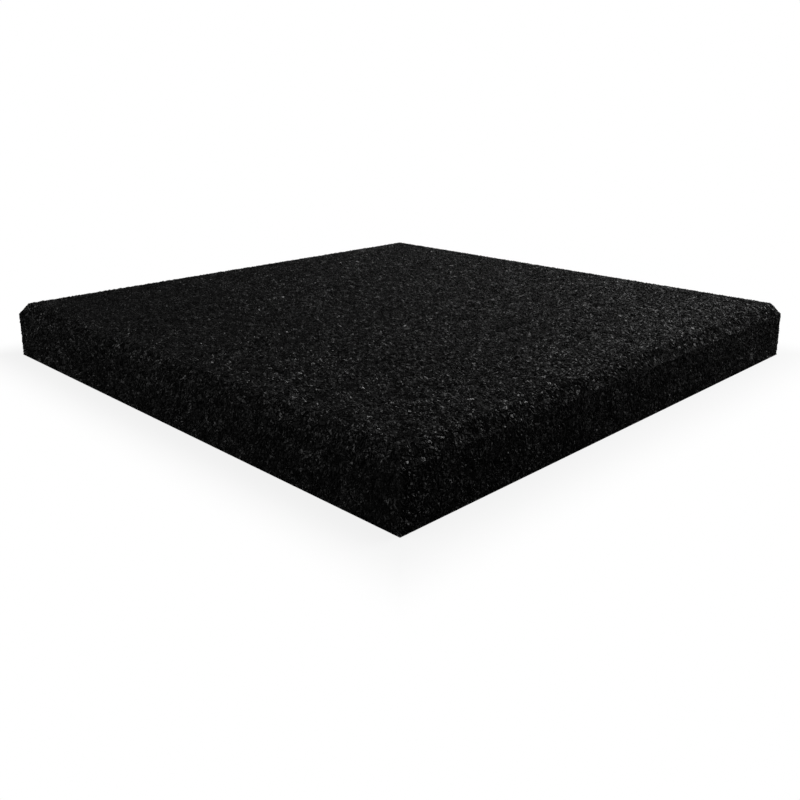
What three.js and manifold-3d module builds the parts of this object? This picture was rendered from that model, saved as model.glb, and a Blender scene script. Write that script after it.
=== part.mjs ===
// A square gym floor tile, pressed in one piece from black rubber crumb and a polyurethane binder.
//
// Its underside is flat, its four sides stand upright, and the top edge is chamfered all round, steeper
// than 45 degrees, so that two tiles laid side by side leave a shallow V between them. A mould leaves no
// sharp edge in rubber crumb: the crest, where the top turns into the chamfer, the shoulder, where the
// chamfer turns into the side, and the four upright corners are each rounded a little.
//
// Millimetres, +Z up. The origin is the centre of the underside, and the sides face X and Y.

import * as THREE from "three";
import { mergeVertices } from "three/addons/utils/BufferGeometryUtils.js";
import Module from "manifold-3d";

// Driving dimensions
const tileLength = 500; // along X
const tileWidth = 500; // along Y
const tileThickness = 50;
const chamferAcross = 7.5; // how far the chamfer reaches in from the side
const chamferDown = 10.5; // how far it reaches down from the top
const crestRadius = 2.5;
const shoulderRadius = 2;
const cornerRadius = 1;
const arcSegments = 2; // three.js cuts each arc into twice as many straight lines

// A corner of an outline: where it is, and the radius that softens it, which may be 0.
const corner = (x, y, radius = 0) => ({ at: new THREE.Vector2(x, y), radius });

// The outline through these corners, in anticlockwise order, with each one that has a radius rounded.
function roundedOutline(corners) {
  const outline = new THREE.Shape();
  corners.forEach(({ at, radius }, i) => {
    const before = corners.at(i - 1).at;
    const after = corners[(i + 1) % corners.length].at;
    const arriving = at.clone().sub(before).normalize();
    const leaving = after.clone().sub(at).normalize();
    const turn = Math.acos(arriving.dot(leaving));
    const start = at.clone().addScaledVector(arriving, -radius * Math.tan(turn / 2));
    if (i === 0) {
      outline.moveTo(start.x, start.y);
    } else {
      outline.lineTo(start.x, start.y);
    }
    if (radius > 0) {
      const centre = start.clone().add(new THREE.Vector2(-arriving.y, arriving.x).multiplyScalar(radius));
      const from = Math.atan2(start.y - centre.y, start.x - centre.x);
      outline.absarc(centre.x, centre.y, radius, from, from + turn, false);
    }
  });
  outline.closePath();
  return outline;
}

// The tile cut across: a rectangle of this width with a rounded chamfer at each end of its top.
function crossSection(width) {
  const half = width / 2;
  const shoulder = tileThickness - chamferDown;
  const crest = half - chamferAcross;
  return roundedOutline([
    corner(-half, 0),
    corner(half, 0),
    corner(half, shoulder, shoulderRadius),
    corner(crest, tileThickness, crestRadius),
    corner(-crest, tileThickness, crestRadius),
    corner(-half, shoulder, shoulderRadius),
  ]);
}

// The tile seen from above: a rectangle with softened corners.
function planOutline() {
  const halfLength = tileLength / 2;
  const halfWidth = tileWidth / 2;
  return roundedOutline([
    corner(-halfLength, -halfWidth, cornerRadius),
    corner(halfLength, -halfWidth, cornerRadius),
    corner(halfLength, halfWidth, cornerRadius),
    corner(-halfLength, halfWidth, cornerRadius),
  ]);
}

// An outline drawn out along its own normal, centred on its plane.
function drawnOut(outline, depth) {
  const geometry = new THREE.ExtrudeGeometry(outline, {
    depth,
    bevelEnabled: false,
    curveSegments: arcSegments,
  });
  return geometry.translate(0, 0, -depth / 2);
}

const wasm = await Module();
wasm.setup();

// A closed three.js geometry as a solid that can be cut.
function solidFrom(geometry) {
  const bare = new THREE.BufferGeometry();
  bare.setAttribute("position", geometry.getAttribute("position"));
  const merged = mergeVertices(bare);
  return new wasm.Manifold(
    new wasm.Mesh({
      numProp: 3,
      vertProperties: merged.getAttribute("position").array,
      triVerts: new Uint32Array(merged.index.array),
    }),
  );
}

// A cut solid as a three.js geometry again.
function geometryFrom(solid) {
  const { vertProperties, triVerts } = solid.getMesh();
  const geometry = new THREE.BufferGeometry();
  geometry.setAttribute("position", new THREE.BufferAttribute(vertProperties, 3));
  geometry.setIndex(new THREE.BufferAttribute(triVerts, 1));
  geometry.computeVertexNormals();
  return geometry;
}

// The tile is what three extrusions have in common: its cross-section drawn out along Y, its cross-section
// drawn out along X, and its plan drawn upwards, each one well past the tile. The chamfers of two
// neighbouring sides then meet in a mitre at each corner.
function tileGeometry() {
  const quarterTurn = Math.PI / 2;
  const alongY = drawnOut(crossSection(tileLength), 2 * tileWidth).rotateX(quarterTurn);
  const alongX = drawnOut(crossSection(tileWidth), 2 * tileLength).rotateX(quarterTurn).rotateZ(quarterTurn);
  const upright = drawnOut(planOutline(), 4 * tileThickness);
  const common = solidFrom(alongY).intersect(solidFrom(alongX)).intersect(solidFrom(upright));
  return geometryFrom(common);
}

const rubberCrumb = new THREE.MeshStandardMaterial({
  color: 0x141414,
  roughness: 0.85,
  metalness: 0,
  flatShading: true,
});

const tile = new THREE.Mesh(tileGeometry(), rubberCrumb);
tile.name = "tile";

const root = new THREE.Group();
root.add(tile);

export default root;
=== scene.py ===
# %% [markdown]
# # A rubber gym floor tile
# The tile is one piece of black rubber crumb. Old tyres are shredded to crumbs of 1 to 3 mm, stirred with a
# clear polyurethane binder and pressed in a flat mould. The mould levels the crumbs that touch it, so the
# faces are flat as a whole, and between the crumbs there are small black pits.
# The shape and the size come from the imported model. This script makes what the eye sees of it: the crumb.

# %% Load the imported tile
import math

import bmesh
import bpy
import numpy as np
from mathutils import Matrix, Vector
from mathutils.geometry import delaunay_2d_cdt


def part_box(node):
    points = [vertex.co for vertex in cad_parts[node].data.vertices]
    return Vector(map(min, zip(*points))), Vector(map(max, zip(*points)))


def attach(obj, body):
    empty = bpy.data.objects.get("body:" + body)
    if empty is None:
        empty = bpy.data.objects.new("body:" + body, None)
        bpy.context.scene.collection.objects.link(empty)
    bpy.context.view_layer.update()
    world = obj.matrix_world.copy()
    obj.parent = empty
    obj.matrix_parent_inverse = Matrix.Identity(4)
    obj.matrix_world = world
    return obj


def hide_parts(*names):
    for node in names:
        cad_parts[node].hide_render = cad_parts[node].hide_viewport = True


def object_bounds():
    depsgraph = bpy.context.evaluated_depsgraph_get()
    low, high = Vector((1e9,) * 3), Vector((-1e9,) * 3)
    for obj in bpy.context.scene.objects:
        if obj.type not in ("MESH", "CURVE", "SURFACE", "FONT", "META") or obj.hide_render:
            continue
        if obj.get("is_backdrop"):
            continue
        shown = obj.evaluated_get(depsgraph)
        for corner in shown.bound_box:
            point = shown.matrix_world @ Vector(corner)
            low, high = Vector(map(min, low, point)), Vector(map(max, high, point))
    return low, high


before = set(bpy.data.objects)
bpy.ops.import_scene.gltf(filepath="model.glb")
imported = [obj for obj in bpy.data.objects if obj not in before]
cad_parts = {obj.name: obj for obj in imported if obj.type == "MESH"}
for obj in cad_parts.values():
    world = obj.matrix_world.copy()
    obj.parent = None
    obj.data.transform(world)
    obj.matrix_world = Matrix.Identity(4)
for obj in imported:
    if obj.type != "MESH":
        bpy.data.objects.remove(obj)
cad_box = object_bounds()
half_side, _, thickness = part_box("tile")[1]
print(f"The tile is {2 * half_side:.3f} m square and {thickness:.3f} m thick.")

# %% [markdown]
# ## Camera
# The photograph looks along the tile's diagonal, from a little above it. A camera could be set by eye, but a
# straight outline is worth measuring: a pinhole camera was fitted to it, which gives the place, the lens and
# a small shift, because the picture was cropped off its own middle.

# %% Camera
azimuth = math.radians(45)
camera_reach = 0.7943  # from the middle of the tile, along the floor
camera_height = 0.2371
sensor_width = 36  # in millimetres, as the next value is
focal_length = 39.71
picture_shift = -0.089  # as a share of the picture's width
aim = Vector((0, 0, thickness / 2))

camera_data = bpy.data.cameras.new("camera")
camera_data.sensor_width = sensor_width
camera_data.lens = focal_length
camera_data.shift_y = picture_shift
camera = bpy.data.objects.new("camera", camera_data)
camera.location = (camera_reach * math.sin(azimuth), -camera_reach * math.cos(azimuth), camera_height)
camera.rotation_euler = (aim - camera.location).to_track_quat("-Z", "Y").to_euler()
bpy.context.scene.collection.objects.link(camera)
bpy.context.scene.camera = camera
print("The camera stands at", [round(value, 3) for value in camera.location])

# %% [markdown]
# ## Nodes
# The world, the materials and the shapes below are all node trees. Each could be wired by hand in Blender's
# editor. In a script, a few short methods do it: add a node, give each input a value or a link, and take
# the socket that comes out.

# %% A short way to write a node tree
class Tree:
    """A node tree, emptied, with a method for each kind of step that this script takes in it."""

    def __init__(self, tree):
        self.tree = tree
        tree.nodes.clear()

    def add(self, kind, inputs=(), **settings):
        """One node with its settings, and each input given a value or linked to a socket.

        An input goes by its name, or by its number where several have the same name.
        """
        node = self.tree.nodes.new(kind)
        for name, value in settings.items():
            setattr(node, name, value)
        for key, value in dict(inputs).items():
            if isinstance(value, bpy.types.NodeSocket):
                self.tree.links.new(value, node.inputs[key])
            else:
                node.inputs[key].default_value = value
        return node

    def maths(self, operation, first, second=0.0):
        """The result of one sum, with each of its terms a number or a socket."""
        return self.add("ShaderNodeMath", {0: first, 1: second}, operation=operation).outputs[0]

    def product(self, first, *others):
        """Several values multiplied together."""
        for other in others:
            first = self.maths("MULTIPLY", first, other)
        return first

    def vector_maths(self, operation, *terms):
        """The results of one sum with vectors: first a vector, then a number."""
        return self.add("ShaderNodeVectorMath", dict(enumerate(terms)), operation=operation).outputs

    def vector(self, x=0.0, y=0.0, z=0.0):
        """Three numbers as one vector."""
        return self.add("ShaderNodeCombineXYZ", {0: x, 1: y, 2: z}).outputs[0]

    def parts(self, vector):
        """The three numbers of a vector."""
        return self.add("ShaderNodeSeparateXYZ", {0: vector}).outputs

    def ranged(self, value, before, after, kind="SMOOTHSTEP"):
        """A value carried over from one range to another, and held at both ends."""
        inputs = {0: value, 1: before[0], 2: before[1], 3: after[0], 4: after[1]}
        return self.add("ShaderNodeMapRange", inputs, interpolation_type=kind).outputs[0]

    def square_reach(self, place):
        """How far a place lies from the middle of a square, along X or Y, whichever is more."""
        x, y, _ = self.parts(self.vector_maths("ABSOLUTE", place)[0])
        return self.maths("MAXIMUM", x, y)


# %% [markdown]
# ## Stage
# The photograph has a blank white background, so the paper under the tile shows plain white to the camera,
# and only keeps a faint shadow where the tile touches it. The tile itself sees a dim room. A white room
# would be simpler, but black rubber only looks black where there is something dark for it to face.

# %% World
room_light = 0.007
world = bpy.data.worlds.new("studio")
bpy.context.scene.world = world
world.use_nodes = True
sky = Tree(world.node_tree)
seen = sky.add("ShaderNodeLightPath").outputs["Is Camera Ray"]
strength = sky.ranged(seen, (0, 1), (room_light, 1), "LINEAR")
backdrop = sky.add("ShaderNodeBackground", {"Color": (1, 1, 1, 1), "Strength": strength})
sky.add("ShaderNodeOutputWorld", {"Surface": backdrop.outputs[0]})
bpy.context.scene.view_settings.view_transform = "Standard"

# %% White paper
shadow_reach = 0.06  # beyond this distance from the tile the paper is plain white
shadow_share = 0.15
lit_grey = 0.9
dim_grey = 0.25


def grey(value):
    return (value, value, value, 1)


paper = bpy.data.materials.new("white_paper")
paper.use_nodes = True
sheet = Tree(paper.node_tree)
distance = sheet.square_reach(sheet.add("ShaderNodeTexCoord").outputs["Object"])
whiteness = sheet.ranged(distance, (half_side, half_side + shadow_reach), (1 - shadow_share, 1))
lit = sheet.add("ShaderNodeBsdfDiffuse", {"Color": grey(lit_grey)}).outputs[0]
glow = sheet.add("ShaderNodeEmission", {"Color": grey(1), "Strength": 1.0}).outputs[0]
shown = sheet.add("ShaderNodeMixShader", {0: whiteness, 1: lit, 2: glow}).outputs[0]
dim = sheet.add("ShaderNodeBsdfDiffuse", {"Color": grey(dim_grey)}).outputs[0]
seen = sheet.add("ShaderNodeLightPath").outputs["Is Camera Ray"]
surface = sheet.add("ShaderNodeMixShader", {0: seen, 1: dim, 2: shown}).outputs[0]
sheet.add("ShaderNodeOutputMaterial", {"Surface": surface})

# %% Floor
floor_reach = 6.0
floor_drop = 0.0001  # the floor lies this far below the tile, so that no two faces share a plane
square = [(-1, -1), (1, -1), (1, 1), (-1, 1)]
floor_mesh = bpy.data.meshes.new("floor")
floor_mesh.from_pydata([(x * floor_reach, y * floor_reach, -floor_drop) for x, y in square], [], [range(4)])
floor_mesh.materials.append(paper)
floor = bpy.data.objects.new("floor", floor_mesh)
bpy.context.scene.collection.objects.link(floor)
floor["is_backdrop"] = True

# %% [markdown]
# ## Lights
# In the photograph the right half of the top is the brightest, the chamfer catches glints, and the two near
# sides are almost black. So one softbox stands over the right side, others stand behind, where they graze
# the top towards the camera, and wide ones at the left fill the sides. Each is placed as the camera sees it,
# and was set by comparing the brightness of each face with the photograph.

# %% Softboxes
def in_view(right, away, up):
    """A place given as the photograph sees it: to the right, away from the camera and up."""
    x = right * math.cos(azimuth) - away * math.sin(azimuth)
    y = right * math.sin(azimuth) + away * math.cos(azimuth)
    return Vector((x, y, up))


def softbox(name, place, size, watts):
    """A square area light, aimed at the tile and unseen by the camera."""
    data = bpy.data.lights.new(name, "AREA")
    data.energy = watts
    data.size = size
    light = bpy.data.objects.new(name, data)
    light.location = place
    light.rotation_euler = (aim - place).to_track_quat("-Z", "Y").to_euler()
    light.visible_camera = False
    bpy.context.scene.collection.objects.link(light)
    print(f"{name}: {watts} W, {size} m across, {place.length:.2f} m away")


softbox("over_right", in_view(0.6, 0, 0.9), size=0.7, watts=4.15)
softbox("right", in_view(1.3, -0.1, 0.55), size=0.8, watts=1.05)
softbox("behind_right", in_view(1.0, 0.8, 0.5), size=0.9, watts=5.0)
softbox("behind", in_view(0.2, 1.3, 0.6), size=0.4, watts=1.25)
softbox("left", in_view(-1.6, -0.5, 1.0), size=1.9, watts=6.3)
softbox("near_left", in_view(-1.1, 0, 0.9), size=1.2, watts=1.0)
softbox("high_left", in_view(-0.8, -0.8, 1.2), size=1.2, watts=1.9)
softbox("front_left", in_view(-0.8, -1.3, 0.35), size=1.0, watts=1.5)

# %% [markdown]
# ## The fold
# Crumbs could be scattered on each face by itself, but then every edge of the tile would show a seam. A
# square napkin laid on a box and folded down over its edges meets itself at the corners. So the crumb is
# made flat on such a napkin, and folded down over the tile last.
# How far a point lies from the middle of the napkin says where it comes to lie on the tile's profile:
# on the top, round the crest, down the chamfer, round the shoulder or down the side.

# %% The tile's profile
chamfer_across = 0.0075
chamfer_down = 0.0105
crest_radius = 0.0025
shoulder_radius = 0.002
chamfer_facing = math.atan2(chamfer_across, chamfer_down)  # how far above the horizon the chamfer faces
arc_steps = 6


def rounded(corner, radius, first, last):
    """The arc that rounds a corner between two directions, as rows of across, up and the way out."""
    reach = radius / math.cos((first - last) / 2)
    towards = np.array([math.cos((first + last) / 2), math.sin((first + last) / 2)])
    angles = np.linspace(first, last, arc_steps + 1)
    out = np.c_[np.cos(angles), np.sin(angles)]
    return np.hstack([corner - reach * towards + radius * out, out])


profile = np.vstack([
    [0, thickness, 0, 1],
    rounded((half_side - chamfer_across, thickness), crest_radius, math.pi / 2, chamfer_facing),
    rounded((half_side, thickness - chamfer_down), shoulder_radius, chamfer_facing, 0),
    [half_side, 0, 1, 0],
])
steps = np.hypot(*np.diff(profile[:, :2], axis=0).T)
along = np.concatenate([[0], np.cumsum(steps)])
crest_at = along[1 + arc_steps // 2]
shoulder_at = along[2 + arc_steps + arc_steps // 2]
rim = along[-1]
print(f"The napkin reaches {rim * 1000:.1f} mm from its middle to its rim.")


# %% Folding the napkin
tiny = 1e-9  # keeps the middle of the napkin from dividing by nothing


def fold(points):
    """Points of the napkin, with their height above it, laid over the tile."""
    flat, height = points[:, :2], points[:, 2:]
    reach = np.abs(flat).max(1)
    across, up, out, rise = (np.interp(reach, along, column) for column in profile.T)
    outwards = np.sign(flat) * (np.abs(flat) == reach[:, None])
    placed = np.c_[flat * (across / np.maximum(reach, tiny))[:, None], up]
    return placed + height * np.c_[outwards * out[:, None], rise]


# %% [markdown]
# ## Corners of the crumbs
# Shredding leaves no two crumbs alike, but they pack closely. Points scattered at random would leave bare
# patches and heaps, so each square of a fine grid holds one point, somewhere in it. Along the edges of the
# tile the points stand in rows: each crumb then lies on one face, and the edges stay straight. The points of
# a side are set out on the side itself and carried to the napkin, which is wider there. Set out on the
# napkin, the crumbs would slant near the corners.

# %% From a side to the napkin and back
quarter_turn = np.array([[0, -1], [1, 0]])
turns = [np.linalg.matrix_power(quarter_turn, i) for i in range(4)]


def half_width(reach):
    """How far the tile goes to each side where its profile has come this far."""
    return np.interp(reach, along, profile[:, 0])


def to_napkin(points, turn):
    """Points of a side, given as reach and distance sideways, on the napkin."""
    reach, sideways = points.T
    return np.c_[reach, sideways * reach / half_width(reach)] @ turn.T


def to_side(points, turn):
    """Points of the napkin, as reach and distance sideways on one side."""
    reach, sideways = (points @ turn).T
    return np.c_[reach, sideways * half_width(reach) / reach]


# %% Ways to set out points
point_spacing = 0.00215
row_clearance = 0.45 * point_spacing
row_unevenness = 0.3
creases = [crest_at, shoulder_at, rim]
layout_seed = 7
rng = np.random.default_rng(layout_seed)


def in_squares(low, high, spacing):
    """One point anywhere in each square of a grid between two opposite corners."""
    low, high = np.array(low), np.array(high)
    counts = np.round((high - low) / spacing).astype(int)
    squares = np.stack(np.meshgrid(np.arange(counts[0]), np.arange(counts[1])), -1).reshape(-1, 2)
    return low + (squares + rng.random(squares.shape)) * (high - low) / counts


def row(start, end, spacing):
    """Points from start up to but not including end, unevenly spaced."""
    start, end = np.array(start), np.array(end)
    count = max(1, round(np.linalg.norm(end - start) / spacing))
    shifts = rng.uniform(-row_unevenness, row_unevenness, count) * (np.arange(count) > 0)
    shares = (np.arange(count) + shifts) / count
    return start + shares[:, None] * (end - start)


# %% Points of the sides
def side_points():
    """Points of one side, clear of its creases and of its two ends."""
    spots = in_squares((crest_at, -half_side), (rim, half_side), point_spacing)
    reach, sideways = spots.T
    clear = np.abs(reach[:, None] - creases).min(1) > row_clearance
    return spots[clear & (half_width(reach) - np.abs(sideways) > row_clearance)]


def across_side(reach, turn):
    """The row of points along one side at this reach, from one corner up to the next."""
    return row((reach, -reach), (reach, reach), point_spacing * reach / half_width(reach)) @ turn.T


def down_corner(low, high, turn):
    """The row of points down one corner of the tile, between two creases."""
    return row((low, low), (high, high), math.sqrt(2) * point_spacing)[1:] @ turn.T


# %% All points
top_points = in_squares((-crest_at, -crest_at), (crest_at, crest_at), point_spacing)
top_points = top_points[np.abs(top_points).max(1) < crest_at - row_clearance]
foot = np.vstack([across_side(rim, turn) for turn in turns])
points = [top_points, foot]
for turn in turns:
    points.append(to_napkin(side_points(), turn))
    points += [across_side(reach, turn) for reach in (crest_at, shoulder_at)]
    points += [down_corner(crest_at, shoulder_at, turn), down_corner(shoulder_at, rim, turn)]
points = np.vstack(points)
print(len(points), "points")

# %% [markdown]
# ## Crumbs seen from above
# Round cells would be easy to grow from points, but shredded rubber has sharp, uneven outlines. Triangles
# between the points give those. A share of the lines between them is rubbed out, so that some crumbs have
# four corners or more. The top and each side get their triangles on their own, in their true shape, and
# share the points of the rows between them.

# %% Triangles between points
near = 1e-6
cdt_epsilon = 1e-7
inside_outline = 1  # how Blender's triangulation is told to keep only what an outline holds


def chain(belongs, order):
    """Edges from point to point along a line, given which points are on it and what sorts them."""
    members = np.flatnonzero(belongs)
    members = members[np.argsort(order[members])].tolist()
    return list(zip(members[:-1], members[1:]))


def triangles(numbers, places, edges):
    """Triangles between numbered points, within the outline that the edges make, and none across an edge."""
    spots = [Vector(place) for place in places]
    _, _, found, sources, _, _ = delaunay_2d_cdt(spots, edges, [], inside_outline, cdt_epsilon)
    return [[numbers[sources[corner][0]] for corner in triangle] for triangle in found]


def top_triangles(points):
    numbers = np.flatnonzero(np.abs(points).max(1) < crest_at + near)
    places = points[numbers]
    edges = []
    for axis in (0, 1):
        for end in (-crest_at, crest_at):
            edges += chain(np.abs(places[:, axis] - end) < near, places[:, 1 - axis])
    return triangles(numbers, places, edges)


def side_triangles(points, turn):
    reach, sideways = (points @ turn).T
    numbers = np.flatnonzero((reach > crest_at - near) & (np.abs(sideways) < reach + near))
    places = to_side(points[numbers], turn)
    reach, sideways = places.T
    edges = []
    for crease in creases:
        edges += chain(np.abs(reach - crease) < near, sideways)
    for end in (-1, 1):
        edges += chain(np.abs(sideways - end * half_width(reach)) < near, reach)
    return triangles(numbers, places, edges)


# %% Reading and marking a mesh
def read(items, name, columns, kind=np.float32):
    """One value of each of a mesh's items, as the rows of an array."""
    values = np.empty((len(items), columns), kind)
    items.foreach_get(name, values.ravel())
    return values


def mark(mesh, name, kind, domain, values):
    """Keeps one value for each point or face of a mesh."""
    mesh.attributes.new(name, kind, domain).data.foreach_set("value", values)


# %% Lines that stay
def on_a_line(places):
    """True where a place lies on a crease, on the rim or on a mitre."""
    reach = np.abs(places).max(1)
    on_crease = np.abs(reach[:, None] - creases).min(1) < near
    return on_crease | ((np.abs(places).min(1) > reach - near) & (reach > crest_at))


def rub_out(mesh, share):
    """Rubs out a random share of a mesh's lines, but none on an edge of the tile."""
    shape = bmesh.new()
    shape.from_mesh(mesh)
    lines = [line for line in shape.edges if len(line.link_faces) == 2]
    middles = np.array([(line.verts[0].co + line.verts[1].co)[:2] for line in lines]) / 2
    gone = (rng.random(len(lines)) < share) & ~on_a_line(middles)
    bmesh.ops.dissolve_edges(shape, edges=[lines[i] for i in np.flatnonzero(gone)], use_verts=False)
    shape.to_mesh(mesh)
    shape.free()


# %% The sheet of crumbs
merged_share = 0.22
top_strips = 4  # the top is several pieces, because each may only have so many triangles
piece_names = [f"top_strip_{i + 1}" for i in range(top_strips)]
piece_names += ["side_minus_x", "side_plus_x", "side_minus_y", "side_plus_y"]


def piece_numbers(middles):
    """Which piece of the tile a crumb is part of, in the order of their names."""
    strip = np.floor((middles[:, 1] / crest_at + 1) / 2 * top_strips).clip(0, top_strips - 1)
    side = np.where(np.abs(middles[:, 0]) > np.abs(middles[:, 1]), 0, 2) + (middles.sum(1) > 0)
    return np.where(np.abs(middles).max(1) < crest_at, strip, top_strips + side).astype(np.int32)


faces = top_triangles(points)
for turn in turns:
    faces += side_triangles(points, turn)
crumb_sheet = bpy.data.meshes.new("crumb_sheet")
crumb_sheet.from_pydata(np.c_[points, np.zeros(len(points))], [], faces)
rub_out(crumb_sheet, merged_share)
corners_on_edge = on_a_line(read(crumb_sheet.vertices, "co", 3)[:, :2].astype(float))
mark(crumb_sheet, "piece", "INT", "FACE", piece_numbers(read(crumb_sheet.polygons, "center", 3)[:, :2]))
mark(crumb_sheet, "on_edge", "FLOAT", "POINT", corners_on_edge.astype(np.float32))
print(len(crumb_sheet.polygons), "crumbs")

# %% [markdown]
# ## From outlines to crumbs
# The sheet has one face for each crumb, and the crumbs share their corners. Modelling a few and scattering
# copies would repeat them, and leave gaps that show the inside. Geometry Nodes can work on every face in the
# same way, each with its own luck: the shared corners sink to the pits, and out of each face a crown is
# raised, drawn in, tipped and cut off level, as the mould levels it.

# %% A short way to write a geometry tree
class GeometryTree(Tree):
    """A tree for a Geometry Nodes modifier, with named inputs, of which one is a seed."""

    def __init__(self, name, inputs):
        super().__init__(bpy.data.node_groups.new(name, "GeometryNodeTree"))
        sockets = self.tree.interface
        sockets.new_socket("Geometry", in_out="INPUT", socket_type="NodeSocketGeometry")
        for label, kind in inputs.items():
            sockets.new_socket(label, in_out="INPUT", socket_type=f"NodeSocket{kind}")
        sockets.new_socket("Geometry", in_out="OUTPUT", socket_type="NodeSocketGeometry")
        self.given = self.add("NodeGroupInput").outputs
        self.place = self.add("GeometryNodeInputPosition").outputs[0]

    def step(self, kind, inputs, **settings):
        """One step that changes a mesh, and gives the changed mesh."""
        return self.add(f"GeometryNode{kind}", inputs, **settings).outputs[0]

    def luck(self, draw, low=0.0, high=1.0):
        """Three random numbers for each point or face, new ones for each draw."""
        seed = self.maths("ADD", self.given["Seed"], draw)
        inputs = {0: (low,) * 3, 1: (high,) * 3, "Seed": seed}
        return self.add("FunctionNodeRandomValue", inputs, data_type="FLOAT_VECTOR").outputs[0]

    def keep(self, mesh, name, value, kind="FLOAT_VECTOR", domain="FACE"):
        """The mesh with a value kept on it under a name."""
        inputs = {"Geometry": mesh, "Name": name, "Value": value}
        return self.step("StoreNamedAttribute", inputs, data_type=kind, domain=domain)

    def kept(self, name, kind="FLOAT_VECTOR"):
        return self.add("GeometryNodeInputNamedAttribute", {"Name": name}, data_type=kind).outputs[0]

    def end(self, mesh):
        """Ends the tree with its instances made real and its material set, as the export needs."""
        solid = self.step("RealizeInstances", {"Geometry": mesh})
        painted = self.step("SetMaterial", {"Geometry": solid, "Material": self.given["Material"]})
        self.add("NodeGroupOutput", {0: painted})
        print(f"{self.tree.name}: {len(self.tree.nodes)} nodes")


# %% What can be set for the crumbs
crumbs = GeometryTree("crumbs", {
    "Piece": "Int",
    "Rim": "Float",
    "Pit Depth": "Float",
    "Deepest Pit": "Float",
    "Edge Share": "Float",
    "Unevenness": "Float",
    "Tip": "Float",
    "Smallest Crown": "Float",
    "Largest Crown": "Float",
    "Highest Crown": "Float",
    "Waviness": "Float",
    "Seed": "Int",
    "Material": "Material",
})

# %% Pits
deep_pit_rarity = 4.0  # the higher, the fewer corners sink far below the others
extra = crumbs.maths("POWER", crumbs.parts(crumbs.luck(1))[0], deep_pit_rarity)
depth = crumbs.maths("ADD", crumbs.product(extra, crumbs.given["Deepest Pit"]), crumbs.given["Pit Depth"])
shallower = crumbs.ranged(crumbs.kept("on_edge", "FLOAT"), (0, 1), (1, crumbs.given["Edge Share"]), "LINEAR")
drop = crumbs.vector(z=crumbs.product(depth, shallower, -1.0))
within_rim = crumbs.maths("LESS_THAN", crumbs.square_reach(crumbs.place), crumbs.given["Rim"])
sinking = {"Geometry": crumbs.given["Geometry"], "Selection": within_rim, "Offset": drop}
pitted = crumbs.step("SetPosition", sinking)

# %% The crumbs of one piece
whole_numbers = {2: crumbs.kept("piece", "INT"), 3: crumbs.given["Piece"]}
comparison = crumbs.add("FunctionNodeCompare", whole_numbers, data_type="INT", operation="NOT_EQUAL")
elsewhere = comparison.outputs[0]
own = crumbs.step("DeleteGeometry", {"Geometry": pitted, "Selection": elsewhere}, domain="FACE")
own = crumbs.keep(own, "crumb_middle", crumbs.place)
own = crumbs.keep(own, "crumb_lot", crumbs.luck(2))
own = crumbs.keep(own, "crumb_lean", crumbs.luck(3, -1.0, 1.0))

# %% How high a crown stands
wave_scale = 120.0  # swells to the metre, where the crumb was filled or pressed a little unevenly
level = (1, 1, 0)  # a vector times this keeps its direction along the sheet and loses its height
lot = crumbs.parts(crumbs.kept("crumb_lot"))
middle = crumbs.kept("crumb_middle")
from_middle = crumbs.vector_maths("SUBTRACT", crumbs.place, middle)[0]
arm = crumbs.vector_maths("MULTIPLY", from_middle, level)[0]
slope = crumbs.vector_maths("DOT_PRODUCT", arm, crumbs.kept("crumb_lean"))["Value"]
waves = {"Vector": middle, "Scale": wave_scale, "Detail": 2.0}
swell = crumbs.add("ShaderNodeTexNoise", waves, normalize=False).outputs[0]
tipped = crumbs.product(slope, crumbs.given["Tip"])
swelled = crumbs.product(swell, crumbs.given["Waviness"])
lowered = crumbs.product(lot[1], crumbs.given["Unevenness"])
rise = crumbs.maths("SUBTRACT", crumbs.maths("ADD", tipped, swelled), lowered)
rise = crumbs.maths("MINIMUM", rise, crumbs.given["Highest Crown"])

# %% Crowns
crown_sizes = (crumbs.given["Smallest Crown"], crumbs.given["Largest Crown"])
crown_size = crumbs.ranged(lot[0], (0, 1), crown_sizes, "LINEAR")
drawn_in = crumbs.vector_maths("MULTIPLY_ADD", arm, crumbs.vector(crown_size, crown_size), middle)[0]
crown_place = crumbs.vector_maths("MULTIPLY_ADD", drawn_in, level, crumbs.vector(z=rise))[0]
extrusion = {"Mesh": own, "Offset Scale": 0.0, "Individual": True}
raised = crumbs.add("GeometryNodeExtrudeMesh", extrusion, mode="FACES").outputs
placing = {"Geometry": raised["Mesh"], "Selection": raised["Top"], "Position": crown_place}
crowned = crumbs.step("SetPosition", placing)
crowned = crumbs.keep(crowned, "crumb_tone", lot[2], "FLOAT")
# The crown mask, 1 on the crowns and 0 in the pits, keeps the pits darkest in the rubber: partly binder,
# partly painted shade.
crowned = crumbs.keep(crowned, "crumb_crown", raised["Top"], "FLOAT", "POINT")
crumbs.end(crowned)

# %% [markdown]
# ## Rubber
# Rubber crumb is black all through. What tells the crumbs apart is how each one faces and how much binder
# dried on it: a film that glints. A picture of real crumb could be wrapped round the tile, but it would
# repeat and show no relief. Here each crumb's own luck, kept on its face, sets its grey and its film, and
# noise breaks both up, with patches of a centimetre and scars finer than a crumb. The pits get neither and
# stay the darkest grey: partly binder pooled there, partly painted shade.

# %% Bare rubber and binder
base_grey = 0.008
palest_grey = 0.08
pale_rarity = 3.0  # the higher, the fewer crumbs are pale
bare_roughness = (0.42, 0.58)
sheen = 0.05  # of the bare rubber
film_rarity = 2.0  # the higher, the fewer crumbs have much film
film_most = 1.5  # above 1, so that the best coated crumbs are coated all over
film_roughness = 0.32
tone_shuffle = 57.0  # makes a second lot out of a crumb's tone, so that film and grey don't go together

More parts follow.
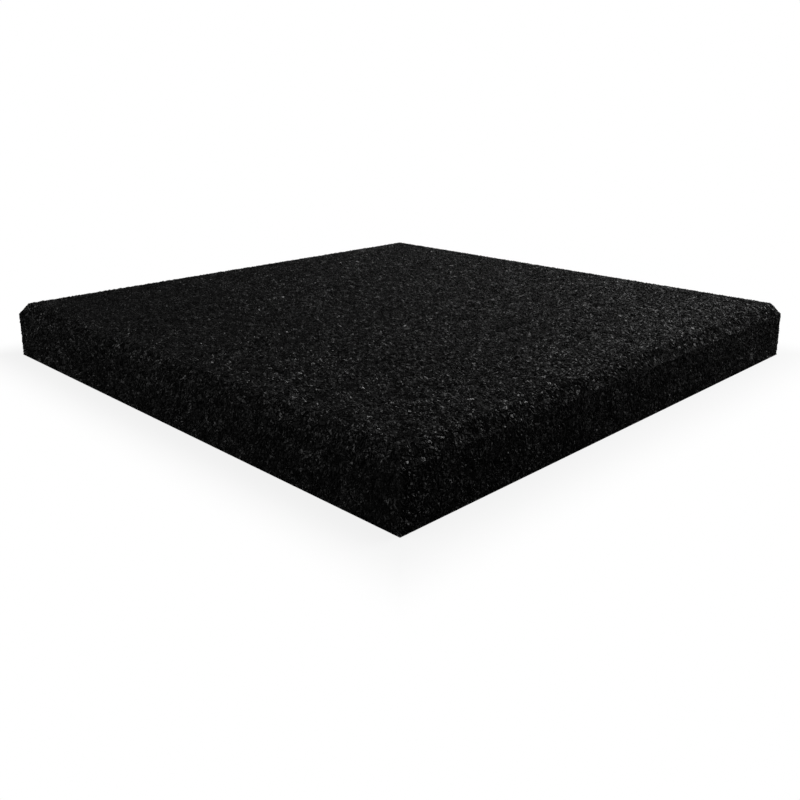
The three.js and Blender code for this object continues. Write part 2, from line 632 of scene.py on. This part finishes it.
# %% Patches, scars and grain
noise_roughness = 0.6
patch_scale = 90.0
patch_levels = (0.36, 0.64)  # between these the noise takes a crumb from the first strength to the second
patch_strength = (0.5, 1.5)
scar_scale = 1000.0
scar_levels = (0.46, 0.56)
gloss_scale = 400.0
gloss_levels = (0.4, 0.6)
grain_scale = 900.0
grain_depth = 0.0004
grain_share = 0.7


# %% Rubber crumb
def crumb_rubber(name):
    """Black rubber in crumbs, each with its own grey and film; pits stay darkest, partly binder, partly
    painted shade.
    """
    material = bpy.data.materials.new(name)
    material.use_nodes = True
    rubber = Tree(material.node_tree)
    where = rubber.add("ShaderNodeTexCoord").outputs["Object"]
    tone = rubber.add("ShaderNodeAttribute", attribute_name="crumb_tone").outputs["Fac"]
    crown = rubber.add("ShaderNodeAttribute", attribute_name="crumb_crown").outputs["Fac"]

    def noise(scale, detail):
        inputs = {"Vector": where, "Scale": scale, "Detail": detail, "Roughness": noise_roughness}
        return rubber.add("ShaderNodeTexNoise", inputs).outputs[0]

    patch = rubber.ranged(noise(patch_scale, detail=4.0), patch_levels, patch_strength)
    scar = rubber.ranged(noise(scar_scale, detail=1.0), scar_levels, (0, 1))
    # A crumb's grey and film fade down its walls to nothing in the pits: partly binder pooled there, partly
    # painted shade.
    look_with_pit_shade = rubber.product(crown, patch, scar)
    paleness = rubber.product(rubber.maths("POWER", tone, pale_rarity), look_with_pit_shade)
    greys = {0: paleness, 6: grey(base_grey), 7: grey(palest_grey)}
    colour = rubber.add("ShaderNodeMix", greys, data_type="RGBA").outputs[2]
    other_tone = rubber.maths("FRACT", rubber.maths("MULTIPLY", tone, tone_shuffle))
    film = rubber.product(rubber.maths("POWER", other_tone, film_rarity), look_with_pit_shade, film_most)
    grain = noise(grain_scale, detail=3.0)
    bump = {"Strength": grain_share, "Distance": grain_depth, "Height": grain}
    shader = rubber.add("ShaderNodeBsdfPrincipled", {
        "Base Color": colour,
        "Roughness": rubber.ranged(noise(gloss_scale, detail=2.0), gloss_levels, bare_roughness),
        "Specular IOR Level": sheen,
        "Normal": rubber.add("ShaderNodeBump", bump).outputs[0],
        "Coat Weight": film,
        "Coat Roughness": film_roughness,
    })
    rubber.add("ShaderNodeOutputMaterial", {"Surface": shader.outputs[0]})
    return material


rubber_crumb = crumb_rubber("rubber_crumb")
print(len(rubber_crumb.node_tree.nodes), "nodes in the rubber")

# %% [markdown]
# ## Pieces
# A modifier could stay live on each piece, but the fold that comes after the crowns is easier on plain
# meshes, and plain meshes are what the export keeps. So the tree's result is copied to a plain mesh, and its
# points are carried from the sheet to the tile. The sheet, as it was before the fold, is its UV map.

# %% Making a piece
def made_by(nodes, sheet, name, values):
    """An object with the plain mesh that a geometry tree makes of a flat sheet."""
    piece = bpy.data.objects.new(name, sheet)
    bpy.context.scene.collection.objects.link(piece)
    modifier = piece.modifiers.new(name, "NODES")
    modifier.node_group = nodes.tree
    for label, value in values.items():
        modifier[nodes.tree.interface.items_tree[label].identifier] = value
    evaluated = piece.evaluated_get(bpy.context.evaluated_depsgraph_get())
    mesh = bpy.data.meshes.new_from_object(evaluated)
    piece.modifiers.remove(modifier)
    piece.data = mesh
    return piece


def map_flat(mesh, flat):
    """A UV map of the sheet seen from above, named OFBake."""
    low, high = flat.min(0), flat.max(0)
    corners = read(mesh.loops, "vertex_index", 1, np.int32)[:, 0]
    places = ((flat - low) / (high - low))[corners].astype(np.float32)
    mesh.uv_layers.new(name="OFBake").data.foreach_set("uv", places.ravel())


def crumb_piece(name, nodes, sheet, values, lay, faces_down=False):
    """One piece of the tile's crumb, laid in place. Gives the number of its triangles."""
    piece = made_by(nodes, sheet, name, values)
    mesh = piece.data
    flat = read(mesh.vertices, "co", 3).astype(float)
    map_flat(mesh, flat[:, :2])
    mesh.vertices.foreach_set("co", lay(flat).astype(np.float32).ravel())
    if faces_down:
        mesh.flip_normals()
    mesh.update()
    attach(piece, "root")
    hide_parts("tile")
    count = sum(len(face.vertices) - 2 for face in mesh.polygons)
    print(f"{name}: {len(mesh.vertices)} points, {count} triangles")
    return count


# %% Top and sides
crumb_values = {
    "Rim": rim - near,
    "Pit Depth": 0.0007,
    "Deepest Pit": 0.0012,
    "Edge Share": 0.35,
    "Unevenness": 0.0005,
    "Tip": 0.45,
    "Smallest Crown": 0.5,
    "Largest Crown": 0.85,
    "Highest Crown": 0.0003,
    "Waviness": 0.0004,
    "Seed": 3,
    "Material": rubber_crumb,
}
triangle_count = 0
for number, name in enumerate(piece_names):
    triangle_count += crumb_piece(name, crumbs, crumb_sheet, crumb_values | {"Piece": number}, fold)

# %% [markdown]
# ## Underside
# The bottom of the mould levels the underside too. It lies on the floor and is hardly ever seen, so it could
# be left flat, but then it would look like another material when the tile is lifted. It is a simpler skin:
# one sheet of triangles as fine as the crumbs above, where some corners lie level with the floor and the
# rest are sunk. Its outer row of points is the foot of the sides, so that the tile is closed there.

# %% The underside's sheet
skin_spacing = 0.0023
everywhere = 0  # how Blender's triangulation is told to fill the whole outline of its points
skin_points = in_squares((-half_side, -half_side), (half_side, half_side), skin_spacing)
skin_points = skin_points[np.abs(skin_points).max(1) < half_side - row_clearance]
skin_points = np.vstack([skin_points, foot * half_side / rim])
spots = [Vector(point) for point in skin_points]
skin_corners, _, skin_faces, _, _, _ = delaunay_2d_cdt(spots, [], [], everywhere, cdt_epsilon)
skin_sheet = bpy.data.meshes.new("skin_sheet")
skin_sheet.from_pydata([(*corner, 0) for corner in skin_corners], [], skin_faces)
print(len(skin_sheet.polygons), "faces")

# %% Hollows
skin = GeometryTree("skin", {
    "Rim": "Float",
    "Depth": "Float",
    "Level Share": "Float",
    "Seed": "Int",
    "Material": "Material",
})
chance = skin.parts(skin.luck(1))[0]
sunk = skin.maths("MAXIMUM", skin.maths("SUBTRACT", chance, skin.given["Level Share"]), 0.0)
drop = skin.vector(z=skin.product(sunk, skin.given["Depth"], -1.0))
within_rim = skin.maths("LESS_THAN", skin.square_reach(skin.place), skin.given["Rim"])
sinking = {"Geometry": skin.given["Geometry"], "Selection": within_rim, "Offset": drop}
hollowed = skin.step("SetPosition", sinking)
hollowed = skin.keep(hollowed, "crumb_tone", skin.parts(skin.luck(2))[0], "FLOAT")
# Sunk corners get a low crown mask, so the rubber keeps the hollows darkest: partly binder, partly painted
# shade.
hollowed = skin.keep(hollowed, "crumb_crown", skin.maths("SUBTRACT", 1.0, sunk), "FLOAT", "POINT")
skin.end(hollowed)

# %% Underside
skin_values = {
    "Rim": half_side - near,
    "Depth": 0.0016,
    "Level Share": 0.4,
    "Seed": 5,
    "Material": rubber_crumb,
}


def turned_over(points):
    """Points of a flat sheet, with their height, turned to face the floor."""
    return points * [1, 1, -1]


triangle_count += crumb_piece("underside", skin, skin_sheet, skin_values, turned_over, faces_down=True)
print("In all", triangle_count, "triangles")

# %% [markdown]
# ## Sizes
# The crumb may stand a little proud of the imported tile, but not change its size. Both boxes are
# gathered side by side in one table.

# %% Sizes
visual_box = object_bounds()
boxes = {"cad": cad_box, "visual": visual_box}
boxes = {name: [list(corner) for corner in box] for name, box in boxes.items()}
print("Box", [[round(value, 4) for value in corner] for corner in visual_box])
